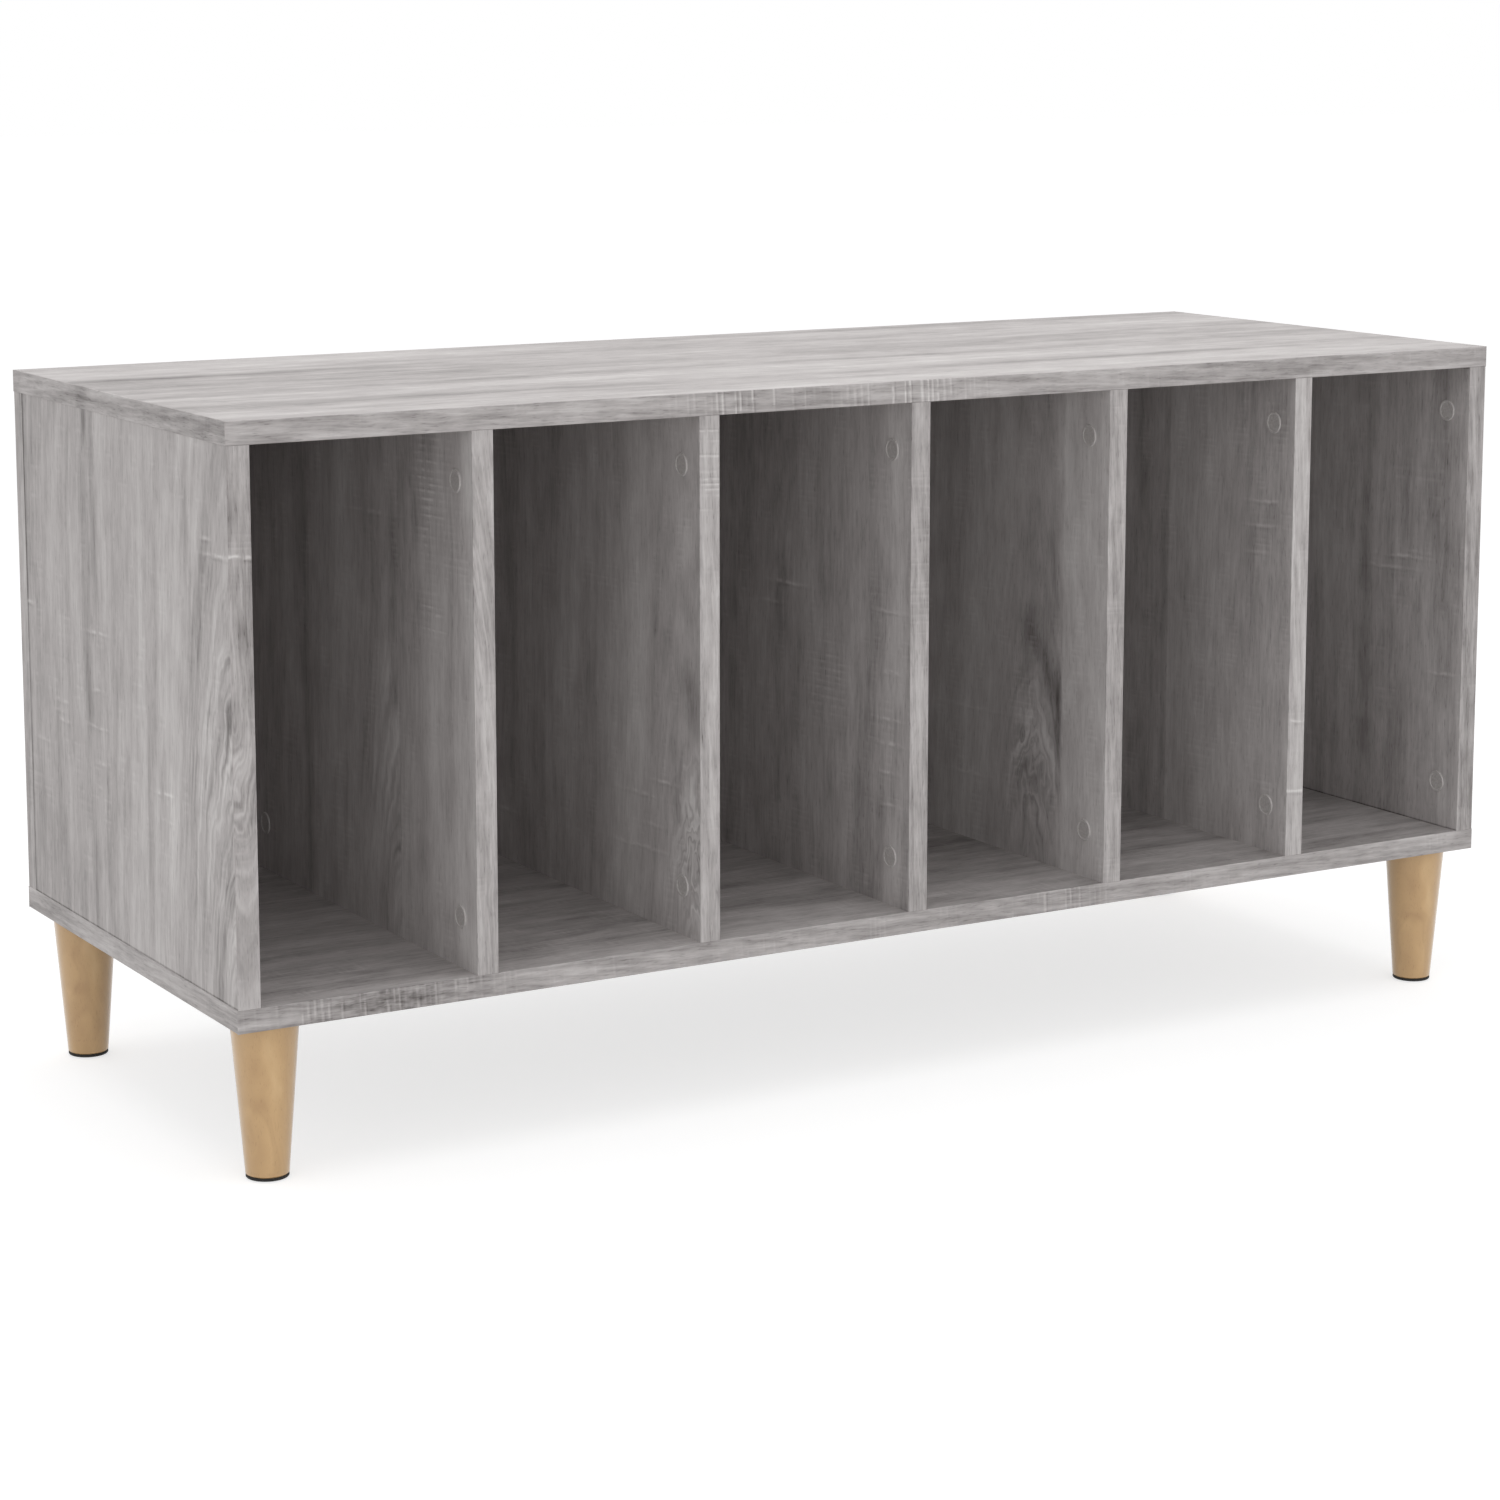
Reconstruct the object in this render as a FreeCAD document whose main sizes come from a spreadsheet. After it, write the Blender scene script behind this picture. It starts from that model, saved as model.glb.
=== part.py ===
import FreeCAD, Part
import os
import Sketcher

# Record cabinet: six upright bays between a top and a bottom board, on four turned legs.
# Millimetres. X runs along the front, Y from the front to the back, Z up from the floor.

doc = FreeCAD.newDocument("record_cabinet")

# Driving dimensions
driving = (
    # boards
    ("cabinet_width", "1000"),
    ("cabinet_depth", "380"),
    ("bay_height", "350"),
    ("board_thickness", "15"),
    ("divider_count", "5"),
    ("side_setback", "0.5"),
    ("band_thickness", "0.8"),
    ("band_round_share", "0.7"),
    # legs and what holds them
    ("leg_length", "101"),
    ("leg_top_diameter", "44"),
    ("leg_bottom_diameter", "28"),
    ("leg_inset", "30"),
    ("leg_chamfer", "0.8"),
    ("stud_diameter", "8"),
    ("stud_leg_depth", "35"),
    ("stud_top_gap", "1"),
    ("insert_diameter", "12"),
    ("insert_skin", "3"),
    # glides
    ("glide_diameter", "27.6"),
    ("glide_thickness", "2"),
    ("glide_chamfer", "0.5"),
    ("nail_diameter", "2.5"),
    ("nail_length", "16"),
    ("nail_glide_depth", "1.2"),
    # cam joints between the uprights and the top and bottom
    ("cam_diameter", "15"),
    ("cam_skin", "2.5"),
    ("cam_end_distance", "34"),
    ("cam_edge_distance", "24"),
    ("cover_diameter", "16"),
    ("cover_thickness", "0.9"),
    ("cover_rim_width", "1.6"),
    ("cover_bevel", "0.4"),
    ("cover_dish_depth", "0.35"),
    ("bolt_diameter", "5"),
    ("bolt_skin", "5"),
    ("bolt_head_diameter", "6.6"),
    ("bolt_head_length", "3"),
    ("bolt_bore_diameter", "8"),
    ("dowel_diameter", "8"),
    ("dowel_length", "30"),
    ("dowel_skin", "5"),
    # screws through the back
    ("screw_diameter", "4"),
    ("screw_length", "40"),
    ("screw_head_diameter", "8"),
    ("screw_height_share", "0.3"),
    # fits
    ("fit_clearance", "0.1"),
    ("bore_end_gap", "0.5"),
)

# Sizes and places that follow from them
derived = (
    ("half_width", "=sizes.cabinet_width / 2"),
    ("half_depth", "=sizes.cabinet_depth / 2"),
    ("half_bay", "=sizes.bay_height / 2"),
    ("half_board", "=sizes.board_thickness / 2"),
    ("floor_gap", "=sizes.leg_length + sizes.glide_thickness"),
    ("bottom_middle", "=floor_gap + half_board"),
    ("bay_floor", "=floor_gap + sizes.board_thickness"),
    ("bay_middle", "=bay_floor + half_bay"),
    ("bay_top", "=bay_floor + sizes.bay_height"),
    ("top_middle", "=bay_top + half_board"),
    ("half_carcass", "=half_width - sizes.side_setback"),
    ("first_upright", "=half_board - half_carcass"),
    ("upright_span", "=2 * half_carcass - sizes.board_thickness"),
    ("upright_pitch", "=upright_span / (sizes.divider_count + 1)"),
    ("upright_depth", "=sizes.cabinet_depth - sizes.board_thickness"),
    ("front_cam", "=sizes.cam_edge_distance"),
    ("rear_cam", "=upright_depth - sizes.cam_edge_distance"),
    ("dowel_place", "=upright_depth / 2"),
    ("cam_height", "=sizes.board_thickness - sizes.cam_skin"),
    ("cam_level", "=half_bay - sizes.cam_end_distance"),
    ("bolt_thread_length", "=sizes.board_thickness - sizes.bolt_skin"),
    ("dowel_seat", "=sizes.board_thickness - sizes.dowel_skin"),
    ("dowel_reach", "=sizes.dowel_length - dowel_seat"),
    ("insert_length", "=sizes.board_thickness - sizes.insert_skin"),
    ("leg_x", "=half_width - sizes.leg_inset"),
    ("leg_y", "=half_depth - sizes.leg_inset"),
    ("screw_level", "=sizes.bay_height * sizes.screw_height_share"),
    ("screw_reach", "=sizes.screw_length - sizes.board_thickness"),
    ("two_fits", "=2 * sizes.fit_clearance"),
)


def fill_sheet(name, cells):
    sheet = doc.addObject("Spreadsheet::Sheet", name)
    for row, (alias, content) in enumerate(cells, start=1):
        sheet.set(f"A{row}", alias)
        sheet.set(f"B{row}", content)
        sheet.setAlias(f"B{row}", alias)
    doc.recompute()
    return sheet


sizes = fill_sheet("sizes", driving)
places = fill_sheet("places", derived)
nodes = []


def number(expression):
    return float(sizes.evalExpression(expression))


def upright_x(index):
    return f"places.first_upright + {index} * places.upright_pitch"


def place(piece, x, y, z, rotation=FreeCAD.Rotation()):
    piece.Placement = FreeCAD.Placement(FreeCAD.Vector(), rotation)
    for axis, expression in zip("xyz", (x, y, z)):
        piece.setExpression(f"Placement.Base.{axis}", expression)


def new_body(label):
    body = doc.addObject("PartDesign::Body", label)
    body.Label = label
    return body


def origin_feature(body, role):
    return next(feature for feature in body.Origin.OriginFeatures if feature.Role == role)


# Sketches: every corner and centre is tied to the sheets


def new_sketch(body, name, plane, offset="0"):
    sketch = body.newObject("Sketcher::SketchObject", f"{body.Name}_{name}")
    sketch.AttachmentSupport = [(origin_feature(body, plane), "")]
    sketch.MapMode = "FlatFace"
    sketch.setExpression("AttachmentOffset.Base.z", offset)
    return sketch


def tie(sketch, constraint, expression):
    index = sketch.addConstraint(constraint)
    sketch.setExpression(f"Constraints[{index}]", expression)


def tie_point(sketch, geometry, point, across, up):
    for kind, expression in (("DistanceX", across), ("DistanceY", up)):
        size = number(expression)
        tie(sketch, Sketcher.Constraint(kind, -1, 1, geometry, point, size), expression)


def draw_outline(sketch, corners):
    points = [FreeCAD.Vector(number(across), number(up), 0) for across, up in corners]
    for start, end in zip(points, points[1:] + points[:1]):
        sketch.addGeometry(Part.LineSegment(start, end))
    for line, (across, up) in enumerate(corners):
        following = (line + 1) % len(corners)
        sketch.addConstraint(Sketcher.Constraint("Coincident", line, 2, following, 1))
        tie_point(sketch, line, 1, across, up)


def draw_rectangle(sketch, left, bottom, right, top):
    draw_outline(sketch, [(left, bottom), (right, bottom), (right, top), (left, top)])


def draw_circles(sketch, diameter, centres):
    upwards = FreeCAD.Vector(0, 0, 1)
    for circle, (across, up) in enumerate(centres):
        middle = FreeCAD.Vector(number(across), number(up), 0)
        sketch.addGeometry(Part.Circle(middle, upwards, number(diameter) / 2))
        tie_point(sketch, circle, 3, across, up)
        tie(sketch, Sketcher.Constraint("Diameter", circle, number(diameter)), diameter)


# Features


def pad(body, sketch, length, midplane=False):
    feature = body.newObject("PartDesign::Pad", f"{sketch.Name}_pad")
    feature.Profile = sketch
    feature.Midplane = midplane
    feature.setExpression("Length", length)
    doc.recompute()
    return feature


def check_cut(feature, volume_before):
    if feature.Shape.Volume >= volume_before:
        raise RuntimeError(f"{feature.Name} cuts nothing")


def pocket(body, sketch, depth, along_normal, midplane=False):
    volume_before = body.Tip.Shape.Volume
    feature = body.newObject("PartDesign::Pocket", f"{sketch.Name}_cut")
    feature.Profile = sketch
    feature.Reversed = along_normal
    feature.Midplane = midplane
    feature.setExpression("Length", depth)
    doc.recompute()
    check_cut(feature, volume_before)
    return feature


def bores(body, name, plane, offset, diameter, centres, depth, along_normal):
    sketch = new_sketch(body, name, plane, offset)
    draw_circles(sketch, diameter, centres)
    return pocket(body, sketch, depth, along_normal)


def repeat_per_upright(body, features):
    volume_before = body.Tip.Shape.Volume
    pattern = body.newObject("PartDesign::LinearPattern", f"{body.Name}_per_upright")
    pattern.Originals = features
    pattern.Direction = (origin_feature(body, "X_Axis"), [""])
    pattern.setExpression("Length", "places.upright_span")
    pattern.setExpression("Occurrences", "sizes.divider_count + 2")
    body.Tip = pattern
    doc.recompute()
    check_cut(pattern, volume_before)


def turned(label, outline):
    body = new_body(label)
    sketch = new_sketch(body, "outline", "XZ_Plane")
    draw_outline(sketch, outline)
    feature = body.newObject("PartDesign::Revolution", f"{label}_turning")
    feature.Profile = sketch
    feature.ReferenceAxis = (sketch, ["V_Axis"])
    doc.recompute()
    return body


def group(label, piece, placings):
    copies = []
    for x, y, z, rotation in placings:
        copy = doc.addObject("App::Link", f"{label}_copy")
        copy.LinkedObject = piece
        place(copy, x, y, z, rotation)
        copies.append(copy)
    compound = doc.addObject("Part::Compound", label)
    compound.Label = label
    compound.Links = copies
    doc.recompute()
    nodes.append(compound)


# Boards

cam_lines = ("places.front_cam - places.half_depth", "places.rear_cam - places.half_depth")
dowel_line = "places.dowel_place - places.half_depth"


def top_or_bottom_panel(label, level, face, up_from_face):
    """face is the height of the board's bay side over its middle, where the joints are drilled."""
    body = new_body(label)
    outline = new_sketch(body, "outline", "XY_Plane")
    half_length = "(places.half_width - sizes.band_thickness)"
    half_breadth = "(places.half_depth - sizes.band_thickness)"
    draw_rectangle(outline, f"-{half_length}", f"-{half_breadth}", half_length, half_breadth)
    pad(body, outline, "sizes.board_thickness", midplane=True)
    bolts = bores(
        body, "bolt_bores", "XY_Plane", face, "sizes.bolt_diameter + places.two_fits",
        [("places.first_upright", line) for line in cam_lines],
        "places.bolt_thread_length + sizes.bore_end_gap", up_from_face,
    )
    dowels = bores(
        body, "dowel_bores", "XY_Plane", face, "sizes.dowel_diameter + places.two_fits",
        [("places.first_upright", dowel_line)],
        "places.dowel_seat + sizes.bore_end_gap", up_from_face,
    )
    repeat_per_upright(body, [bolts, dowels])
    place(body, "0", "0", level)
    nodes.append(body)
    return body


def upright_panel(label, index, cam_face, into_face):
    """cam_face is the side of the board, from its middle, that the cams are let into."""
    body = new_body(label)
    outline = new_sketch(body, "outline", "YZ_Plane")
    draw_rectangle(
        outline, "sizes.band_thickness", "-places.half_bay", "places.upright_depth", "places.half_bay"
    )
    pad(body, outline, "sizes.board_thickness", midplane=True)
    ends = ("places.front_cam", "places.rear_cam")
    cams = bores(
        body, "cam_bores", "YZ_Plane", cam_face, "sizes.cam_diameter",
        [(end, "places.cam_level") for end in ends],
        "places.cam_height + sizes.fit_clearance", into_face,
    )
    bolts = bores(
        body, "bolt_bores", "XY_Plane", "places.half_bay", "sizes.bolt_bore_diameter",
        [("0", end) for end in ends],
        "sizes.cam_end_distance", False,
    )
    dowels = bores(
        body, "dowel_bores", "XY_Plane", "places.half_bay", "sizes.dowel_diameter + places.two_fits",
        [("0", "places.dowel_place")],
        "places.dowel_reach + sizes.bore_end_gap", False,
    )
    mirrored = body.newObject("PartDesign::Mirrored", f"{label}_lower_joints")
    mirrored.Originals = [cams, bolts, dowels]
    mirrored.MirrorPlane = (origin_feature(body, "XY_Plane"), [""])
    body.Tip = mirrored
    doc.recompute()
    check_cut(mirrored, dowels.Shape.Volume)
    bores(
        body, "screw_bores", "XZ_Plane", "-places.upright_depth", "sizes.screw_diameter + places.two_fits",
        [("0", "-places.screw_level"), ("0", "places.screw_level")],
        "places.screw_reach + sizes.bore_end_gap", True,
    )
    place(body, upright_x(index), "-places.half_depth", "places.bay_middle")
    nodes.append(body)


def back_panel(label):
    body = new_body(label)
    outline = new_sketch(body, "outline", "XZ_Plane")
    half_length = "(places.half_carcass - sizes.band_thickness)"
    draw_rectangle(outline, f"-{half_length}", "-places.half_bay", half_length, "places.half_bay")
    pad(body, outline, "sizes.board_thickness", midplane=True)
    centres = new_sketch(body, "screw_holes", "XZ_Plane", "-places.half_board")
    draw_circles(
        centres, "sizes.screw_diameter + places.two_fits",
        [("places.first_upright", "-places.screw_level"), ("places.first_upright", "places.screw_level")],
    )
    doc.recompute()
    volume_before = body.Tip.Shape.Volume
    hole = body.newObject("PartDesign::Hole", f"{label}_countersunk_holes")
    hole.Profile = centres
    hole.Reversed = True
    hole.DepthType = "ThroughAll"
    hole.HoleCutType = "Countersink"
    hole.setExpression("Diameter", "sizes.screw_diameter + places.two_fits")
    hole.setExpression("HoleCutDiameter", "sizes.screw_head_diameter + places.two_fits")
    hole.HoleCutCountersinkAngle = 90
    doc.recompute()
    check_cut(hole, volume_before)
    repeat_per_upright(body, [hole])
    place(body, "0", "places.half_depth - places.half_board", "places.bay_middle")
    nodes.append(body)


top_or_bottom_panel("top_panel", "places.top_middle", "-places.half_board", True)
bottom_panel = top_or_bottom_panel("bottom_panel", "places.bottom_middle", "places.half_board", False)
bores(
    bottom_panel, "insert_bores", "XY_Plane", "-places.half_board",
    "sizes.insert_diameter + places.two_fits",
    [(f"{side}places.leg_x", f"{end}places.leg_y") for side in ("-", "") for end in ("-", "")],
    "places.insert_length + sizes.bore_end_gap", True,
)

divider_count = int(number("sizes.divider_count"))
last_upright = divider_count + 1
divider_names = {index: f"divider_{index}" for index in range(1, last_upright)}
upright_names = {0: "left_side", **divider_names, last_upright: "right_side"}
for index, name in upright_names.items():
    # the cams are let into the left face, but on the left side into its inner face
    if index == 0:
        upright_panel(f"{name}_panel", index, "places.half_board", False)
    else:
        upright_panel(f"{name}_panel", index, "-places.half_board", True)
back_panel("back_panel")

# Edge bands: a strip as wide as the board is thick, with its outer edges rounded over


def edge_band(label, length, x, y, z, turn, lying, ends_show=False):
    """The strip stands along Z and faces the front, then is laid along X and turned about Z."""
    body = new_body(label)
    outline = new_sketch(body, "outline", "XY_Plane")
    draw_rectangle(outline, "-places.half_board", "-sizes.band_thickness", "places.half_board", "0")
    strip = pad(body, outline, length, midplane=True)
    outer_face = -number("sizes.band_thickness")
    outer_edges = []
    for count, edge in enumerate(strip.Shape.Edges, start=1):
        box = edge.BoundBox
        off_outer_face = abs(box.YMin - outer_face) + abs(box.YMax - outer_face)
        on_outer_face = off_outer_face < strip.Shape.getTolerance(1)
        runs_along = box.ZLength > box.XLength
        if on_outer_face and (runs_along or ends_show):
            outer_edges.append(f"Edge{count}")
    rounding = body.newObject("PartDesign::Fillet", f"{label}_rounding")
    rounding.Base = (strip, outer_edges)
    rounding.setExpression("Radius", "sizes.band_thickness * sizes.band_round_share")
    doc.recompute()
    lay = FreeCAD.Rotation(FreeCAD.Vector(0, 1, 0), 90 if lying else 0)
    place(body, x, y, z, FreeCAD.Rotation(FreeCAD.Vector(0, 0, 1), turn) * lay)
    nodes.append(body)


core_half_depth = "(places.half_depth - sizes.band_thickness)"
core_half_width = "(places.half_width - sizes.band_thickness)"
for board, level in (("top", "places.top_middle"), ("bottom", "places.bottom_middle")):
    for end, line, turn in (("front", f"-{core_half_depth}", 0), ("back", core_half_depth, 180)):
        edge_band(f"{board}_{end}_band", "sizes.cabinet_width", "0", line, level, turn, True, ends_show=True)
    for end, line, turn in (("left", f"-{core_half_width}", -90), ("right", core_half_width, 90)):
        edge_band(f"{board}_{end}_band", f"2 * {core_half_depth}", line, "0", level, turn, True)
for index, name in upright_names.items():
    edge_band(
        f"{name}_front_band", "sizes.bay_height",
        upright_x(index), f"-{core_half_depth}", "places.bay_middle", 0, False,
    )
for end, sign, turn in (("left", "-", -90), ("right", "", 90)):
    edge_band(
        f"back_{end}_band", "sizes.bay_height", f"{sign}(places.half_carcass - sizes.band_thickness)",
        "places.half_depth - places.half_board", "places.bay_middle", turn, False,
    )

# Legs: turned to a straight taper, bored for the stud above and the glide's nail below

leg_outline = [
    ("sizes.stud_diameter / 2 + sizes.fit_clearance", "0"),
    ("sizes.leg_top_diameter / 2 - sizes.leg_chamfer", "0"),
    ("sizes.leg_top_diameter / 2", "-sizes.leg_chamfer"),
    ("sizes.leg_bottom_diameter / 2", "sizes.leg_chamfer - sizes.leg_length"),
    ("sizes.leg_bottom_diameter / 2 - sizes.leg_chamfer", "-sizes.leg_length"),
    ("sizes.nail_diameter / 2 + sizes.fit_clearance", "-sizes.leg_length"),
    (
        "sizes.nail_diameter / 2 + sizes.fit_clearance",
        "sizes.nail_length + sizes.bore_end_gap - sizes.leg_length",
    ),
    ("0", "sizes.nail_length + sizes.bore_end_gap - sizes.leg_length"),
    ("0", "-sizes.stud_leg_depth - sizes.bore_end_gap"),
    ("sizes.stud_diameter / 2 + sizes.fit_clearance", "-sizes.stud_leg_depth - sizes.bore_end_gap"),
]
glide_outline = [
    ("0", "0"),
    ("sizes.glide_diameter / 2 - sizes.glide_chamfer", "0"),
    ("sizes.glide_diameter / 2", "sizes.glide_chamfer"),
    ("sizes.glide_diameter / 2", "sizes.glide_thickness"),
    ("sizes.nail_diameter / 2 + sizes.fit_clearance", "sizes.glide_thickness"),
    ("sizes.nail_diameter / 2 + sizes.fit_clearance", "sizes.glide_thickness - sizes.nail_glide_depth"),
    ("0", "sizes.glide_thickness - sizes.nail_glide_depth"),
]
leg_places = {
    f"{end}_{side}": (f"{x_sign}places.leg_x", f"{y_sign}places.leg_y")
    for end, y_sign in (("front", "-"), ("rear", ""))
    for side, x_sign in (("left", "-"), ("right", ""))
}
for corner, (x, y) in leg_places.items():
    leg = turned(f"{corner}_leg", leg_outline)
    place(leg, x, y, "places.floor_gap")
    nodes.append(leg)
    glide = turned(f"{corner}_glide", glide_outline)
    place(glide, x, y, "0")
    nodes.append(glide)


def one_per_leg(level):
    return [(x, y, level, FreeCAD.Rotation()) for x, y in leg_places.values()]


leg_stud = turned("leg_stud", [
    ("0", "places.insert_length - sizes.stud_top_gap"),
    ("sizes.stud_diameter / 2", "places.insert_length - sizes.stud_top_gap"),
    ("sizes.stud_diameter / 2", "-sizes.stud_leg_depth"),
    ("0", "-sizes.stud_leg_depth"),
])
group("leg_studs", leg_stud, one_per_leg("places.floor_gap"))

leg_insert = turned("leg_insert", [
    ("sizes.stud_diameter / 2 + sizes.fit_clearance", "0"),
    ("sizes.insert_diameter / 2", "0"),
    ("sizes.insert_diameter / 2", "places.insert_length"),
    ("sizes.stud_diameter / 2 + sizes.fit_clearance", "places.insert_length"),
])
group("leg_inserts", leg_insert, one_per_leg("places.floor_gap"))

glide_nail = turned("glide_nail", [
    ("0", "-sizes.nail_glide_depth"),
    ("sizes.nail_diameter / 2", "-sizes.nail_glide_depth"),
    ("sizes.nail_diameter / 2", "sizes.nail_length - sizes.nail_diameter"),
    ("0", "sizes.nail_length"),
])
group("glide_nails", glide_nail, one_per_leg("sizes.glide_thickness"))

# Cam joints. Each piece is drawn for an upper joint of a board whose left face holds the cam.

as_drawn = FreeCAD.Rotation()
turned_over = FreeCAD.Rotation(FreeCAD.Vector(1, 0, 0), 180)
turned_about = FreeCAD.Rotation(FreeCAD.Vector(0, 0, 1), 180)


def one_per_joint(lines):
    return [
        (upright_x(index), line, level, turn)
        for index in upright_names
        for line in lines
        for level, turn in (("places.bay_top", as_drawn), ("places.bay_floor", turned_over))
    ]


def one_per_cam():
    placings = []
    for index in upright_names:
        side, facing = ("+", turned_about) if index == 0 else ("-", as_drawn)
        face = f"{upright_x(index)} {side} places.half_board"
        for line in cam_lines:
            placings.append((face, line, "places.bay_middle + places.cam_level", facing))
            placings.append((face, line, "places.bay_middle - places.cam_level", facing * turned_over))
    return placings


cam_lock = new_body("cam_lock")
cam_outline = new_sketch(cam_lock, "outline", "YZ_Plane")
draw_circles(cam_outline, "sizes.cam_diameter - places.two_fits", [("0", "0")])
pad(cam_lock, cam_outline, "places.cam_height")
# the bolt's head lies in a channel across the inner end
channel = new_sketch(cam_lock, "head_channel", "XY_Plane")
channel_half_width = "(sizes.bolt_head_diameter / 2 + sizes.fit_clearance)"
draw_rectangle(
    channel, f"places.half_board - {channel_half_width}", f"-{channel_half_width}",
    "places.cam_height", channel_half_width,
)
pocket(cam_lock, channel, "sizes.cam_diameter", True, midplane=True)
group("cam_locks", cam_lock, one_per_cam())

cam_bolt = turned("cam_bolt", [
    ("0", "places.bolt_thread_length"),
    ("sizes.bolt_diameter / 2", "places.bolt_thread_length"),
    ("sizes.bolt_diameter / 2", "sizes.bolt_head_length / 2 - sizes.cam_end_distance"),
    ("sizes.bolt_head_diameter / 2", "sizes.bolt_head_length / 2 - sizes.cam_end_distance"),
    ("sizes.bolt_head_diameter / 2", "-sizes.bolt_head_length / 2 - sizes.cam_end_distance"),
    ("0", "-sizes.bolt_head_length / 2 - sizes.cam_end_distance"),
])
group("cam_bolts", cam_bolt, one_per_joint(cam_lines))

dowel = turned("dowel", [
    ("0", "places.dowel_seat"),
    ("sizes.dowel_diameter / 2", "places.dowel_seat"),
    ("sizes.dowel_diameter / 2", "-places.dowel_reach"),
    ("0", "-places.dowel_reach"),
])
group("dowels", dowel, one_per_joint([dowel_line]))

# the cover is a shallow dish with a bevelled rim, drawn facing up and set facing out of the board
cam_cover = turned("cam_cover", [
    ("0", "0"),
    ("sizes.cover_diameter / 2", "0"),
    ("sizes.cover_diameter / 2 - sizes.cover_bevel", "sizes.cover_thickness"),
    ("sizes.cover_diameter / 2 - sizes.cover_rim_width", "sizes.cover_thickness"),
    (
        "sizes.cover_diameter / 2 - sizes.cover_rim_width - sizes.cover_bevel",
        "sizes.cover_thickness - sizes.cover_dish_depth",
    ),
    ("0", "sizes.cover_thickness - sizes.cover_dish_depth"),
])
facing_left = FreeCAD.Rotation(FreeCAD.Vector(0, 1, 0), -90)
group("cam_covers", cam_cover, [(x, y, z, turn * facing_left) for x, y, z, turn in one_per_cam()])

# Screws that hold the back to the uprights

back_screw = turned("back_screw", [
    ("0", "0"),
    ("sizes.screw_head_diameter / 2", "0"),
    ("sizes.screw_diameter / 2", "sizes.screw_diameter / 2 - sizes.screw_head_diameter / 2"),
    ("sizes.screw_diameter / 2", "-sizes.screw_length"),
    ("0", "-sizes.screw_length"),
])
head_to_rear = FreeCAD.Rotation(FreeCAD.Vector(1, 0, 0), -90)
group("back_screws", back_screw, [
    (upright_x(index), "places.half_depth", f"places.bay_middle {sign} places.screw_level", head_to_rear)
    for index in upright_names
    for sign in ("-", "+")
])

# Check and write

doc.recompute()
failed = [item.Name for item in doc.Objects if {"Invalid", "Error"} & set(item.State)]
if failed:
    raise RuntimeError(f"not built: {failed}")
for node in nodes:
    if node.Shape.isNull() or not node.Shape.isValid() or not node.Shape.Solids:
        raise RuntimeError(f"{node.Label} is not a valid solid")
os.makedirs("parts", exist_ok=True)
for node in nodes:
    node.Shape.exportStep(f"parts/{node.Label}.step")
print(len(nodes), "nodes,", sum(len(node.Shape.Solids) for node in nodes), "solids")
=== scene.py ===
import bpy
import math
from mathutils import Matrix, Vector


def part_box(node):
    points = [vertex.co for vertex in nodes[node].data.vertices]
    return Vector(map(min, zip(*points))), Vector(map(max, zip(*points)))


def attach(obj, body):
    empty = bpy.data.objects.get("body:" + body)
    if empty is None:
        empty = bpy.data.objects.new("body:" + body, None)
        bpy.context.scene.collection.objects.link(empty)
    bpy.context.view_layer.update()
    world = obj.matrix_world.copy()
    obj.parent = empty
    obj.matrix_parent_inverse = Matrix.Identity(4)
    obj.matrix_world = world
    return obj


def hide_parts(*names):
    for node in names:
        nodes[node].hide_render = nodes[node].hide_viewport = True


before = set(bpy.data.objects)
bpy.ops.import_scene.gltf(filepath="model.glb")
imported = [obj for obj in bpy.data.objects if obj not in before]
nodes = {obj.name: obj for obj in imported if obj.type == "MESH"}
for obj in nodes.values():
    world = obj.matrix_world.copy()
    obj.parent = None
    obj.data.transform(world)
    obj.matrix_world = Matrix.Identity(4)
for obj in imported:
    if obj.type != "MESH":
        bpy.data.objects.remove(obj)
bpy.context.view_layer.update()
scene = bpy.context.scene
scene.view_settings.view_transform = "Standard"
perMetre = 1000     # the finishes count in millimetres, the frame in metres
print("frame loaded,", len(nodes), "nodes")

# Shader helpers: most add one node and hand back its output


def screenColour(red, green, blue):
    # a colour as a screen shows it, 0 to 255, turned into Blender's linear light
    return [((part / 255 + 0.055) / 1.055) ** 2.4 for part in (red, green, blue)] + [1.0]


def feed(tree, value, socket):
    if isinstance(value, bpy.types.NodeSocket):
        tree.links.new(value, socket)
    else:
        socket.default_value = value


def maths(tree, operation, *values):
    node = tree.nodes.new("ShaderNodeMath")
    node.operation = operation
    for value, socket in zip(values, node.inputs):
        feed(tree, value, socket)
    return node.outputs[0]


def vectorMaths(tree, operation, *values):
    node = tree.nodes.new("ShaderNodeVectorMath")
    node.operation = operation
    for value, socket in zip(values, node.inputs):
        feed(tree, value, socket)
    return node.outputs["Value" if operation in ("DOT_PRODUCT", "LENGTH") else "Vector"]


def vectorOf(tree, *parts):
    node = tree.nodes.new("ShaderNodeCombineXYZ")
    for value, socket in zip(parts, node.inputs):
        feed(tree, value, socket)
    return node.outputs[0]


def cloud(tree, place, size, seed, detail=1.0):
    # soft noise around 0.5, with spots of the given size along each axis
    node = tree.nodes.new("ShaderNodeTexNoise")
    node.noise_dimensions = "4D"
    feed(tree, vectorMaths(tree, "DIVIDE", place, size), node.inputs["Vector"])
    node.inputs["W"].default_value = seed
    node.inputs["Scale"].default_value = 1.0
    node.inputs["Detail"].default_value = detail
    return node.outputs[0]


def swing(tree, value, amount):
    # noise around 0.5 becomes a swing around 0
    return maths(tree, "MULTIPLY_ADD", value, amount, -amount / 2)


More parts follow.
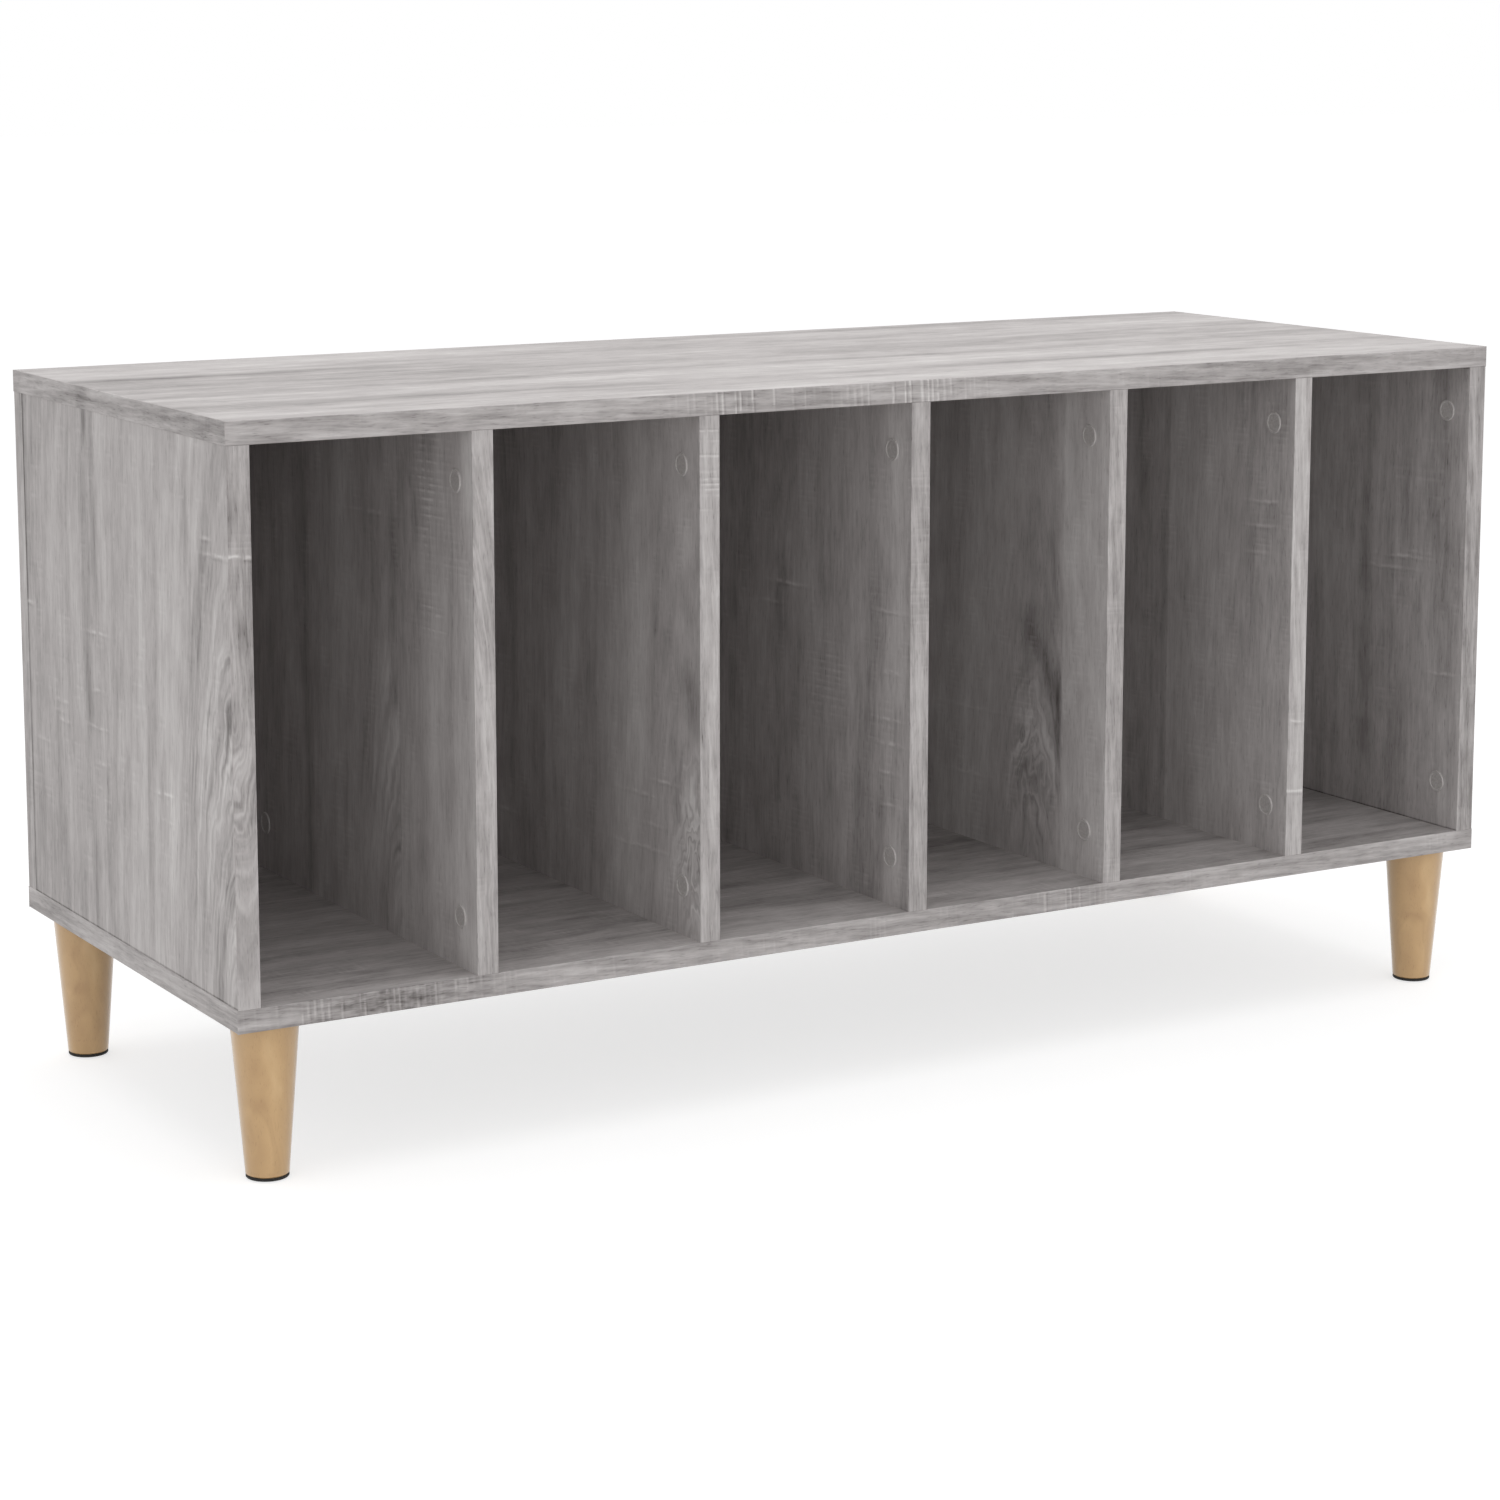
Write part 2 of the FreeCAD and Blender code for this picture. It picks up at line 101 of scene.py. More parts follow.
def window(tree, value, start, end, startValue=0.0, endValue=1.0):
    # goes smoothly from one result to the other while the value goes from start to end
    node = tree.nodes.new("ShaderNodeMapRange")
    node.interpolation_type = "SMOOTHSTEP"
    feed(tree, value, node.inputs["Value"])
    node.inputs["From Min"].default_value = start
    node.inputs["From Max"].default_value = end
    node.inputs["To Min"].default_value = startValue
    node.inputs["To Max"].default_value = endValue
    return node.outputs["Result"]


def bell(tree, flatPlace, across, along, width, length):
    # 1 at the given place, falling softly to 0 past the width and the length
    offset = vectorMaths(tree, "SUBTRACT", flatPlace, (across, along, 0))
    offset = vectorMaths(tree, "DIVIDE", offset, (width, length, 1))
    square = vectorMaths(tree, "DOT_PRODUCT", offset, offset)
    return maths(tree, "EXPONENT", maths(tree, "MULTIPLY", square, -1.0))


def addMarks(tree, tone, flatPlace, marks):
    # soft marks on a tone, each given as across, along, width, length and strength
    for *mark, strength in marks:
        tone = maths(tree, "MULTIPLY_ADD", bell(tree, flatPlace, *mark), strength, tone)
    return tone


def awayFrom(tree, value, middle):
    return maths(tree, "ABSOLUTE", maths(tree, "SUBTRACT", value, middle))


def colourRamp(tree, value, stops):
    node = tree.nodes.new("ShaderNodeValToRGB")
    ramp = node.color_ramp
    while len(ramp.elements) < len(stops):
        ramp.elements.new(1.0)
    for element, (position, colour) in zip(ramp.elements, stops):
        element.position = position
        element.color = colour
    feed(tree, value, node.inputs[0])
    return node.outputs["Color"]


def addBump(tree, shader, height, distance, strength):
    node = tree.nodes.new("ShaderNodeBump")
    node.inputs["Distance"].default_value = distance
    node.inputs["Strength"].default_value = strength
    feed(tree, height, node.inputs["Height"])
    feed(tree, node.outputs[0], shader.inputs["Normal"])


def newFinish(name, specular, metallic=0.0):
    material = bpy.data.materials.new(name)
    material.use_nodes = True
    tree = material.node_tree
    shader = tree.nodes["Principled BSDF"]
    shader.inputs["Specular IOR Level"].default_value = specular
    shader.inputs["Metallic"].default_value = metallic
    return material, tree, shader


def paint(tree, shader, tone, look):
    # colour, roughness and relief, all led by one tone
    stops = [(position, screenColour(*shade)) for position, shade in look["shades"]]
    feed(tree, colourRamp(tree, tone, stops), shader.inputs["Base Color"])
    roughness = window(tree, tone, *look["roughTones"], *look["roughness"])
    feed(tree, roughness, shader.inputs["Roughness"])
    addBump(tree, shader, tone, look["bump"], look["bumpStrength"])


def grainPlace(tree, along, across):
    # the place on the piece in millimetres, as across the grain, along it and through the board
    coordinates = tree.nodes.new("ShaderNodeTexCoord").outputs["Object"]
    parts = tree.nodes.new("ShaderNodeSeparateXYZ")
    feed(tree, vectorMaths(tree, "MULTIPLY", coordinates, (perMetre, perMetre, perMetre)), parts.inputs[0])
    through = next(axis for axis in "XYZ" if axis not in (along, across))
    sockets = [parts.outputs[axis] for axis in (across, along, through)]
    return vectorOf(tree, *sockets), sockets


def dress(material, *names):
    for name in names:
        slots = nodes[name].data.materials
        slots.clear()
        slots.append(material)


# Grey oak print: streaks that follow growth rings round a heart line, mottling, pores and pale saw marks

oakPrint = {
    # each shade is a tone and the colour that a screen shows at it
    "shades": ((0.0, (92, 87, 85)), (0.5, (183, 178, 177)), (1.0, (230, 227, 225))),
    "tone": 0.5, "specular": 0.3, "roughness": (0.56, 0.68), "roughTones": (0.2, 0.8),
    "bump": 0.0001, "bumpStrength": 0.5,
    # layers of noise: size across the grain, size along it and swing, in millimetres or in tone
    "bend": (70, 260, 26), "wobble": (13, 52, 7), "flame": (17, 36, 24), "flicker": (5, 11, 5),
    "broad": (38, 420, 0.48), "medium": (11, 170, 0.36), "fine": (3, 50, 0.26),
    "mottle": (15, 34, 0.38), "fibre": (1.7, 14, 0.3), "fleck": (3, 7, 1.0), "layerDepth": 9,
    "pore": (0.8, 7), "poreEdge": (0.58, 0.72), "poreDark": 0.14,
    "grainLean": 0.0, "figureShares": {"medium": 0.6, "fine": 1.5},
    # saw marks: line and shade give middle, half width and strength, drift its length and swing, in steps
    "sawStep": 6.5, "sawSlant": 0.04, "sawDrift": (4, 2.2),
    "sawCore": 0.02, "sawLine": (0.4, 0.3, 1.0), "sawShade": (0.78, 0.22, -0.4),
    "sawPatch": (16, 40), "sawPatchEdge": (0.5, 0.66), "sawShare": 0.06,
    "sawSlide": 14, "sawShuffle": 37.0, "sawKept": (0.1, 0.6),
    "strokeThick": 1.3, "strokeWobble": (16, 9, 3.0), "strokeDrop": 1.8, "strokeShade": -0.4,
    "strokeBreak": (8, 5), "breakEdge": (0.38, 0.56), "breakLeast": 0.15,
    # where printed planks or whole boards meet: half widths, and how dark the line of painted shade is
    # where boards meet
    "plankEdge": 1, "meetingCore": 0.3, "paintedGapShade": -0.34, "jointWidth": 1.6, "seamWidth": 4.5,
}
calmPrint = dict(
    oakPrint, broad=(38, 420, 0.52), medium=(11, 170, 0.27), sawStep=5.0, sawSlide=7, sawKept=(-0.2, 0.4),
)
# a heart line: its place across the board, and the base, flare and reach of the arch above it
# then the middle, spread and length of the figure round it, and how far that boosts the streaks
# this one lies so far to one side that the streaks run straight
straight = {
    "across": 420, "base": 0, "flare": 0.05, "reach": 20,
    "middle": 0, "spread": 1, "length": 1, "boost": 0.0,
}

# how many steps from the board's seed each layer of noise is drawn
layerDraws = {
    "bend": 0, "wobble": 4, "flame": 5, "flicker": 6,
    "broad": 0, "medium": 1, "fine": 2, "mottle": 3, "fibre": 2, "pore": 9, "fleck": 11,
    "sawDrift": 6, "sawPatch": 7, "strokeBreak": 8, "strokeWobble": 10,
}
# how much finer noise a layer holds, 1 for those that aren't named
layerDetails = {"flame": 2.0, "medium": 1.5, "fine": 1.5, "mottle": 3.0, "fibre": 2.0, "fleck": 2.0}


def layerNoise(tree, look, layer, place, seed):
    sizeAcross, sizeAlong = look[layer][:2]
    size = (sizeAcross, sizeAlong, look["layerDepth"])
    return cloud(tree, place, size, seed + layerDraws[layer], layerDetails.get(layer, 1.0))


def layerSwing(tree, look, layer, place, seed):
    return swing(tree, layerNoise(tree, look, layer, place, seed), look[layer][2])


def plankStep(tree, look, across, edge, front, behind):
    # one result in front of the edge of a printed plank, another behind it
    return window(tree, across, edge - look["plankEdge"], edge + look["plankEdge"], front, behind)


def ringsOf(tree, look, heart, seed, place, parts):
    # how far each point is from the heart line, which arches above its base and is stirred near its middle
    across, along = parts[:2]
    bend = layerSwing(tree, look, "bend", place, seed)
    bend = maths(tree, "ADD", bend, layerSwing(tree, look, "wobble", place, seed))
    lean = maths(tree, "ADD", maths(tree, "SUBTRACT", across, heart["across"]), bend)
    lean = maths(tree, "MULTIPLY_ADD", along, look["grainLean"], lean)
    rise = maths(tree, "SUBTRACT", along, heart["base"])
    rise = maths(tree, "MULTIPLY", rise, heart["flare"] / heart["reach"])
    depth = maths(tree, "TANH", maths(tree, "MAXIMUM", rise, 0.0))
    leanPlace = vectorOf(tree, lean, along, 0.0)
    nearHeart = bell(tree, leanPlace, 0, heart["middle"], heart["spread"], heart["length"])
    if "cut" in heart:
        figured = plankStep(tree, look, across, heart["cut"], 0.0, 1.0)
        depth = maths(tree, "MULTIPLY", depth, figured)
        nearHeart = maths(tree, "MULTIPLY", nearHeart, figured)
    flame = layerSwing(tree, look, "flame", place, seed)
    flame = maths(tree, "ADD", flame, layerSwing(tree, look, "flicker", place, seed))
    flame = maths(tree, "MULTIPLY", flame, heart.get("stir", 1.0))
    arch = vectorOf(tree, lean, maths(tree, "MULTIPLY", depth, heart["reach"]), 0.0)
    ring = maths(tree, "MULTIPLY_ADD", flame, nearHeart, vectorMaths(tree, "LENGTH", arch))
    return maths(tree, "MULTIPLY", ring, heart.get("tight", 1.0)), bend, nearHeart


def sawLanes(tree, look, board, place, parts):
    # lanes across the grain, unevenly spaced, each with a pale line and a faint dark one beside it
    across, along, through = parts
    seed = board["seed"]
    lane = maths(tree, "MULTIPLY_ADD", across, look["sawSlant"], along)
    lane = maths(tree, "DIVIDE", lane, look["sawStep"])
    driftSteps, driftSwing = look["sawDrift"]
    driftSize = (1, driftSteps * look["sawStep"], look["layerDepth"])
    driftPlace = vectorOf(tree, 0.0, along, through)
    drift = cloud(tree, driftPlace, driftSize, seed + layerDraws["sawDrift"])
    lane = maths(tree, "ADD", lane, swing(tree, drift, driftSwing))
    chance = tree.nodes.new("ShaderNodeTexWhiteNoise")
    chance.noise_dimensions = "1D"
    feed(tree, maths(tree, "FLOOR", lane), chance.inputs["W"])
    luck = chance.outputs["Value"]
    fraction = maths(tree, "FRACT", lane)
    lines = 0.0
    for middle, halfWidth, strength in (look["sawLine"], look["sawShade"]):
        line = window(tree, awayFrom(tree, fraction, middle), look["sawCore"], halfWidth, strength, 0.0)
        lines = maths(tree, "ADD", line, lines)
    lines = maths(tree, "MULTIPLY", lines, window(tree, luck, *look["sawKept"]))
    patch = layerNoise(tree, look, "sawPatch", place, seed)
    patch = window(tree, patch, *look["sawPatchEdge"], 0.0, look["sawShare"])
    slide = maths(tree, "FRACT", maths(tree, "MULTIPLY", luck, look["sawShuffle"]))
    slide = swing(tree, slide, 2 * look["sawSlide"])
    slidPlace = vectorOf(tree, maths(tree, "ADD", across, slide), along, 0.0)
    return maths(tree, "MULTIPLY", lines, addMarks(tree, patch, slidPlace, board.get("saw", ())))


def sawMarks(tree, look, board, place, parts):
    # the lanes and the board's own single strokes, broken up into short lengths
    across, along = parts[:2]
    seed = board["seed"]
    marks = sawLanes(tree, look, board, place, parts)
    wobble = layerSwing(tree, look, "strokeWobble", place, seed)
    level = maths(tree, "MULTIPLY_ADD", across, look["sawSlant"], maths(tree, "ADD", along, wobble))
    strokePlace = vectorOf(tree, across, level, 0.0)
    thick = look["strokeThick"]
    for strokeAcross, strokeAlong, halfLength, strength in board.get("strokes", ()):
        strokeLevel = strokeAlong + look["sawSlant"] * strokeAcross
        shadeLevel = strokeLevel - look["strokeDrop"] * thick
        line = (strokeAcross, strokeLevel, halfLength, thick, strength)
        shade = (strokeAcross, shadeLevel, halfLength, thick, look["strokeShade"] * strength)
        marks = addMarks(tree, marks, strokePlace, (line, shade))
    broken = layerNoise(tree, look, "strokeBreak", place, seed)
    broken = window(tree, broken, *look["breakEdge"], look["breakLeast"], 1.0)
    return maths(tree, "MULTIPLY", marks, broken)


def makeOakPrint(name, board, look):
    material, tree, shader = newFinish(name, look["specular"])
    place, parts = grainPlace(tree, board["along"], board["across"])
    across, along, through = parts
    seed = board["seed"]
    heart = board.get("heart", straight)
    ring, bend, nearHeart = ringsOf(tree, look, heart, seed, place, parts)
    ringPlace = vectorOf(tree, ring, along, through)
    tone = layerSwing(tree, look, "broad", ringPlace, seed)
    tone = maths(tree, "ADD", tone, board.get("tone", look["tone"]))
    for layer, share in look["figureShares"].items():
        figure = maths(tree, "MULTIPLY_ADD", nearHeart, share * heart["boost"], 1.0)
        tone = maths(tree, "MULTIPLY_ADD", layerSwing(tree, look, layer, ringPlace, seed), figure, tone)
    for layer in ("mottle", "fibre"):
        tone = maths(tree, "ADD", layerSwing(tree, look, layer, place, seed), tone)
    bentPlace = vectorOf(tree, maths(tree, "ADD", across, bend), along, 0.0)
    tone = addMarks(tree, tone, bentPlace, board.get("streaks", ()))
    for edge, lift in board.get("steps", ()):
        tone = maths(tree, "ADD", plankStep(tree, look, across, edge, lift, 0.0), tone)
    if "flecked" in board:
        share = addMarks(tree, 0.0, vectorOf(tree, across, along, 0.0), board["flecked"])
        tone = maths(tree, "MULTIPLY_ADD", share, layerSwing(tree, look, "fleck", place, seed), tone)
    pore = window(tree, layerNoise(tree, look, "pore", place, seed), *look["poreEdge"])
    tone = maths(tree, "MULTIPLY_ADD", pore, -look["poreDark"], tone)
    tone = maths(tree, "ADD", sawMarks(tree, look, board, place, parts), tone)
    # painted shade: a dark line along each joint and seam, standing in for the shade in the gap between
    # boards
    meetings = [(along, joint, look["jointWidth"]) for joint in board.get("joints", ())]
    meetings += [(across, seam, look["seamWidth"]) for seam in board.get("seams", ())]
    for direction, middle, width in meetings:
        near = awayFrom(tree, direction, middle)
        line = window(tree, near, look["meetingCore"], width, look["paintedGapShade"], 0.0)
        tone = maths(tree, "ADD", line, tone)
    paint(tree, shader, tone, look)
    return material


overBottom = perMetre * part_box("bottom_panel")[1][2]
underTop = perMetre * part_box("top_panel")[0][2]
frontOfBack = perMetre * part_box("back_panel")[0][1]

# places and sizes are in millimetres, across the grain and along it
# streaks, saw and flecked: across, along, width, length and strength of each mark
# strokes: across, along, half length and strength of each single saw mark
# steps: a plank edge across the board, and how much paler the print is in front of it
# joints and seams: where other boards meet this one, along it and across it, each drawn as a line of
# painted shade
boards = {
    "top_panel": {
        "along": "X", "across": "Y", "seed": 1.7,
        "streaks": (
            (-119, -330, 13, 300, -0.3), (-115, 190, 10, 190, -0.25), (82, -420, 10, 130, -0.22),
            (-152, 0, 34, 900, 0.13), (-66, 0, 30, 900, 0.13), (32, 0, 58, 900, -0.08),
            (138, 0, 24, 900, 0.08), (172, 280, 9, 260, -0.2), (168, -20, 7, 60, -0.12),
        ),
    },
    "bottom_panel": {
        "along": "X", "across": "Y", "seed": 12.3, "tone": 0.42,
        "streaks": ((-184, 120, 14, 420, -0.09),),
    },
    "left_side_panel": {
        "along": "Z", "across": "Y", "seed": 3.1, "tone": 0.48,
        "joints": (overBottom,), "seams": (frontOfBack,),
        "heart": {
            "across": -205, "base": 20, "flare": 0.28, "reach": 120,
            "middle": 250, "spread": 72, "length": 150, "boost": 3.0, "stir": 0.6, "tight": 1.4,
        },
        "streaks": (
            (135, 293, 55, 900, -0.07), (-62, 293, 52, 900, 0.045), (168, 293, 18, 400, -0.08),
            (41, 410, 7, 80, -0.26), (60, 280, 14, 60, -0.16), (56, 150, 8, 60, -0.24),
            (22, 330, 13, 200, 0.05), (-38, 250, 10, 170, 0.12), (-51, 210, 4, 110, -0.14),
            (-92, 360, 20, 80, 0.09), (-92, 210, 18, 60, 0.1), (-120, 420, 6, 40, -0.16),
            (82, 370, 12, 80, 0.07), (57, 462, 5, 14, -0.25), (-150, 425, 18, 50, 0.08),
            (-188, 340, 9, 110, -0.08),
        ),
        "steps": ((50, 0.035),),
        "strokes": (
            (40, 321, 18, 0.24), (38, 282, 11, 0.2), (40, 257, 18, 0.22), (37, 233, 8, 0.16),
            (43, 216, 6, 0.12), (110, 264, 12, 0.18), (114, 257, 9, 0.18), (107, 251, 11, 0.18),
            (149, 231, 16, 0.12), (170, 324, 9, 0.26), (-170, 399, 20, 0.3), (-153, 408, 8, 0.24),
            (-66, 233, 12, 0.22), (-82, 234, 9, 0.2), (-79, 216, 10, 0.14),
        ),
        "flecked": ((-100, 165, 32, 45, 0.168), (-62, 350, 14, 50, 0.105)),
    },
    "divider_1_panel": {
        "along": "Z", "across": "Y", "print": calmPrint, "seed": 5.2, "tone": 0.53,
        "heart": {
            "across": -84, "base": 110, "flare": 0.4, "reach": 60,
            "middle": 240, "spread": 42, "length": 100, "boost": 2.2, "stir": 0.7, "cut": -78,
        },
        "streaks": ((72, 293, 5, 200, -0.12), (4, 293, 36, 400, 0.1), (-70, 370, 7, 60, -0.16)),
        "steps": ((-78, 0.05), (-160, 0.03)),
        "strokes": ((-38, 400, 40, 0.14),),
        "saw": ((-125, 425, 15, 34, 0.26), (-125, 340, 15, 16, 0.24)),
    },
    "divider_2_panel": {
        "along": "Z", "across": "Y", "print": calmPrint, "seed": 6.8, "tone": 0.53,
        "heart": {
            "across": -182, "base": 80, "flare": 0.34, "reach": 60,
            "middle": 180, "spread": 26, "length": 56, "boost": 3.2, "stir": 1.8,
        },
        "streaks": (
            (-176, 290, 6, 18, -0.13), (-182, 272, 7, 15, -0.13), (-100, 293, 34, 400, 0.06),
            (-181, 184, 10, 30, 0.14), (-190, 293, 12, 400, -0.1), (-34, 293, 20, 400, 0.1),
            (-160, 293, 18, 400, -0.07),
        ),
        "strokes": (
            (-110, 205, 26, 0.18), (-104, 168, 40, 0.16), (-140, 218, 16, 0.2), (-120, 186, 20, 0.12),
            (95, 155, 20, 0.16),
        ),
    },
    "divider_3_panel": {
        "along": "Z", "across": "Y", "print": calmPrint, "seed": 8.4, "tone": 0.51,
        "streaks": (
            (-160, 293, 12, 400, 0.08), (-186, 293, 5, 300, -0.04), (-140, 293, 44, 400, -0.09),
            (-154, 293, 12, 400, -0.06),
        ),
        "strokes": (
            (-29, 325, 22, 0.28), (-8, 309, 16, 0.14), (-166, 323, 16, 0.24), (-168, 281, 14, 0.22),
            (-166, 248, 14, 0.18), (-166, 231, 14, 0.2), (-164, 211, 12, 0.18), (-166, 188, 14, 0.16),
        ),
        "saw": ((-83, 262, 24, 28, 0.12),),
    },
    "divider_4_panel": {
        "along": "Z", "across": "Y", "print": calmPrint, "seed": 9.9, "tone": 0.52,
        "heart": {
            "across": -102, "base": 100, "flare": 0.3, "reach": 60,
            "middle": 195, "spread": 28, "length": 56, "boost": 2.6, "stir": 2.0,
        },
        "streaks": (
            (-127, 350, 5, 45, -0.16), (-98, 290, 10, 13, -0.2), (-108, 276, 9, 12, -0.18),
            (-118, 262, 8, 12, -0.2), (-127, 247, 7, 13, -0.22), (-133, 220, 4, 40, -0.24),
            (-182, 293, 26, 400, -0.16), (5, 293, 36, 400, 0.1), (-108, 293, 22, 400, -0.06),
        ),
        "steps": ((-137, 0.11),),
        "strokes": ((-27, 218, 30, 0.12), (-20, 168, 28, 0.14)),
    },
    "divider_5_panel": {
        "along": "Z", "across": "Y", "print": calmPrint, "seed": 11.1, "tone": 0.47,
        "streaks": (
            (5, 293, 32, 400, -0.06), (-38, 293, 5, 400, -0.08), (-160, 293, 44, 400, -0.17),
            (12, 293, 26, 400, 0.18),
        ),
        "steps": ((-44, 0.15),),
        "strokes": ((-160, 376, 20, 0.2), (-156, 358, 20, 0.16), (-150, 338, 12, 0.12)),
    },
    "right_side_panel": {
        "along": "Z", "across": "Y", "seed": 13.6,
        "joints": (overBottom, underTop), "seams": (frontOfBack,),
        "streaks": (
            (-82, 293, 6, 300, -0.14), (-60, 293, 30, 400, -0.03), (-140, 293, 26, 400, -0.08),
            (-158, 293, 12, 400, -0.08), (-184, 293, 8, 400, -0.09),
        ),
        "strokes": (
            (-122, 319, 24, 0.24), (-104, 309, 26, 0.2), (-140, 324, 12, 0.18), (-170, 235, 14, 0.18),
        ),
    },
    "back_panel": {
        "along": "Z", "across": "X", "seed": 15.2,
        "heart": {
            "across": -120, "base": 100, "flare": 0.16, "reach": 60,
            "middle": 260, "spread": 44, "length": 130, "boost": 2.2,
        },
        "streaks": ((-330, 293, 20, 400, -0.14), (60, 293, 14, 400, 0.12), (270, 293, 26, 400, -0.1)),
        "saw": ((200, 330, 30, 60, 0.15), (-250, 230, 26, 40, 0.15)),
    },
}
for nodeName, board in boards.items():
    dress(makeOakPrint("oakPrint_" + nodeName, board, board.get("print", oakPrint)), nodeName)
print("boards printed:", len(boards))

# Edge bands: the same print at a finer scale along each strip, with closer saw marks

bandPrint = dict(
    oakPrint, bend=(20, 120, 5), wobble=(6, 22, 2.4), broad=(12, 180, 0.5), medium=(4, 60, 0.55),
    fine=(1.5, 26, 0.42), mottle=(8, 18, 0.36), fibre=(0.7, 9, 0.26), grainLean=0.03,
    sawStep=4.4, sawSlant=0.05, sawPatch=(30, 40), sawShare=0.05, sawSlide=4, sawKept=(0.15, 0.7),
)
dividerBands = ["divider_%d_front_band" % number for number in range(1, 6)]
bandRuns = {
    "frontBandPrint": {
        "along": "X", "across": "Z", "seed": 21.0, "tone": 0.455,
        "strips": ("top_front_band", "top_back_band", "bottom_front_band", "bottom_back_band"),
        "saw": (
            (475, -138, 40, 36, 0.3), (475, -10, 40, 44, 0.3), (110, -395, 40, 70, 0.2),
            (110, 120, 40, 30, 0.2),
        ),
        "streaks": ((110, -400, 40, 60, -0.14), (110, 0, 12, 900, -0.02)),
        "flecked": ((110, -395, 40, 60, 0.6),),
    },
    "endBandPrint": {
        "along": "Y", "across": "Z", "seed": 24.0,
        "strips": ("top_left_band", "top_right_band", "bottom_left_band", "bottom_right_band"),
        "streaks": ((475, 0, 30, 300, -0.1), (475, 57, 20, 12, -0.2)),
    },
    "backBandPrint": {
        "along": "Z", "across": "Y", "seed": 27.0, "strips": ("back_left_band", "back_right_band"),
    },
    "leftBandPrint": {
        "along": "Z", "across": "X", "seed": 33.0, "tone": 0.475, "strips": ("left_side_front_band",),
        "heart": {
            "across": -490, "base": 300, "flare": -0.26, "reach": 30,
            "middle": 240, "spread": 14, "length": 60, "boost": 0.7, "stir": 0.6,
        },
        "streaks": ((-494, 430, 30, 26, -0.14), (-490, 355, 5, 44, -0.2)),
        "strokes": ((-492, 400, 30, 0.4),),
    },
    "uprightBandPrint": {
        "along": "Z", "across": "X", "seed": 30.0, "tone": 0.46,
        "strips": ("right_side_front_band", *dividerBands),
        "heart": {
            "across": -338, "base": 300, "flare": 0.25, "reach": 40,
            "middle": 378, "spread": 18, "length": 50, "boost": 1.2, "stir": 0.35,
        },
        "streaks": (
            (328, 293, 20, 400, 0.12), (492, 293, 20, 400, -0.06), (0, 293, 20, 400, -0.03),
            (-164, 293, 20, 400, 0.04),
        ),
        "strokes": ((328, 218, 30, 0.3), (328, 166, 30, 0.3)),
        "saw": ((-164, 440, 30, 22, 0.34), (0, 340, 30, 50, 0.06)),
    },
}
for runName, run in bandRuns.items():
    dress(makeOakPrint(runName, run, bandPrint), *run["strips"])
print("edge bands printed")

# Turned beech: growth layers cut by the taper, short dark flecks, satin lacquer

beech = {
    "shades": ((0.0, (173, 133, 86)), (0.5, (207, 169, 118)), (1.0, (228, 195, 145))),
    "tone": 0.5, "specular": 0.45, "roughness": (0.34, 0.44), "roughTones": (0.2, 0.8),
    "coat": 0.8, "coatRoughness": 0.14, "sheen": 0.25, "sheenRoughness": 0.35,
    "bump": 0.00006, "bumpStrength": 0.4, "seed": 2.0,
    # growth layers: thickness and share of each kind, how they tilt and how far they wander
    "broad": (15, 0.55), "fine": (2.6, 0.24), "layerLength": 260, "layerDetail": 1.5,
    "layerTurn": 35, "layerSlope": 0.16, "wander": 26, "wanderSize": (20, 20, 34),
    "fleck": (0.7, 0.7, 3.5), "fleckEdge": (0.6, 0.72), "fleckShare": 0.14, "fleckDraw": 4,
    # each cloud in the figure: to one side of the axis, height above the floor, width, height and strength
    "figure": (
        (2, 87, 3, 12, 0.22), (6, 66, 3.2, 16, 0.26), (-7, 76, 4, 7, -0.13), (-4, 51, 7, 5, -0.16),
        (-11, 46, 4, 5, 0.12), (14, 60, 4, 60, -0.14), (-6, 18, 5, 20, -0.14), (3, 22, 3, 14, 0.1),
    ),
    "figureTurn": -22.7, "figureWander": 8, "figureWanderSize": (9, 9, 14), "figureDraw": 7,
}
dowelBeech = dict(beech, layerSlope=0.02, coat=0.0, sheen=0.0, figure=(), seed=6.0)


def makeBeech(name, look, axis=(0, 0)):
    material, tree, shader = newFinish(name, look["specular"])
    shader.inputs["Coat Weight"].default_value = look["coat"]
    shader.inputs["Coat Roughness"].default_value = look["coatRoughness"]
    shader.inputs["Sheen Weight"].default_value = look["sheen"]
    shader.inputs["Sheen Roughness"].default_value = look["sheenRoughness"]
    seed = look["seed"]
    place, (across, along, through) = grainPlace(tree, "Z", "X")
    place = vectorMaths(tree, "SUBTRACT", place, (axis[0], 0, axis[1]))
    roundPlace = vectorOf(tree, across, through, along)
    turn = math.radians(look["layerTurn"])
    tilt = (math.cos(turn), look["layerSlope"], math.sin(turn))
    wander = swing(tree, cloud(tree, roundPlace, look["wanderSize"], seed), look["wander"])
    layer = maths(tree, "ADD", vectorMaths(tree, "DOT_PRODUCT", place, tilt), wander)
    layerPlace = vectorOf(tree, layer, along, 0.0)
    tone = look["tone"]
    for thickness, share in (look["broad"], look["fine"]):
        size = (thickness, look["layerLength"], 1)
        streak = cloud(tree, layerPlace, size, seed + thickness, look["layerDetail"])
        tone = maths(tree, "ADD", swing(tree, streak, share), tone)
    turn = math.radians(look["figureTurn"])
    side = vectorMaths(tree, "DOT_PRODUCT", place, (math.cos(turn), 0, math.sin(turn)))
    wander = cloud(tree, roundPlace, look["figureWanderSize"], seed + look["figureDraw"])
    side = maths(tree, "ADD", side, swing(tree, wander, look["figureWander"]))
    tone = addMarks(tree, tone, vectorOf(tree, side, along, 0.0), look["figure"])
    fleck = cloud(tree, roundPlace, look["fleck"], seed + look["fleckDraw"])
    fleck = window(tree, fleck, *look["fleckEdge"])
    tone = maths(tree, "MULTIPLY_ADD", fleck, -look["fleckShare"], tone)
    paint(tree, shader, tone, look)
    return material


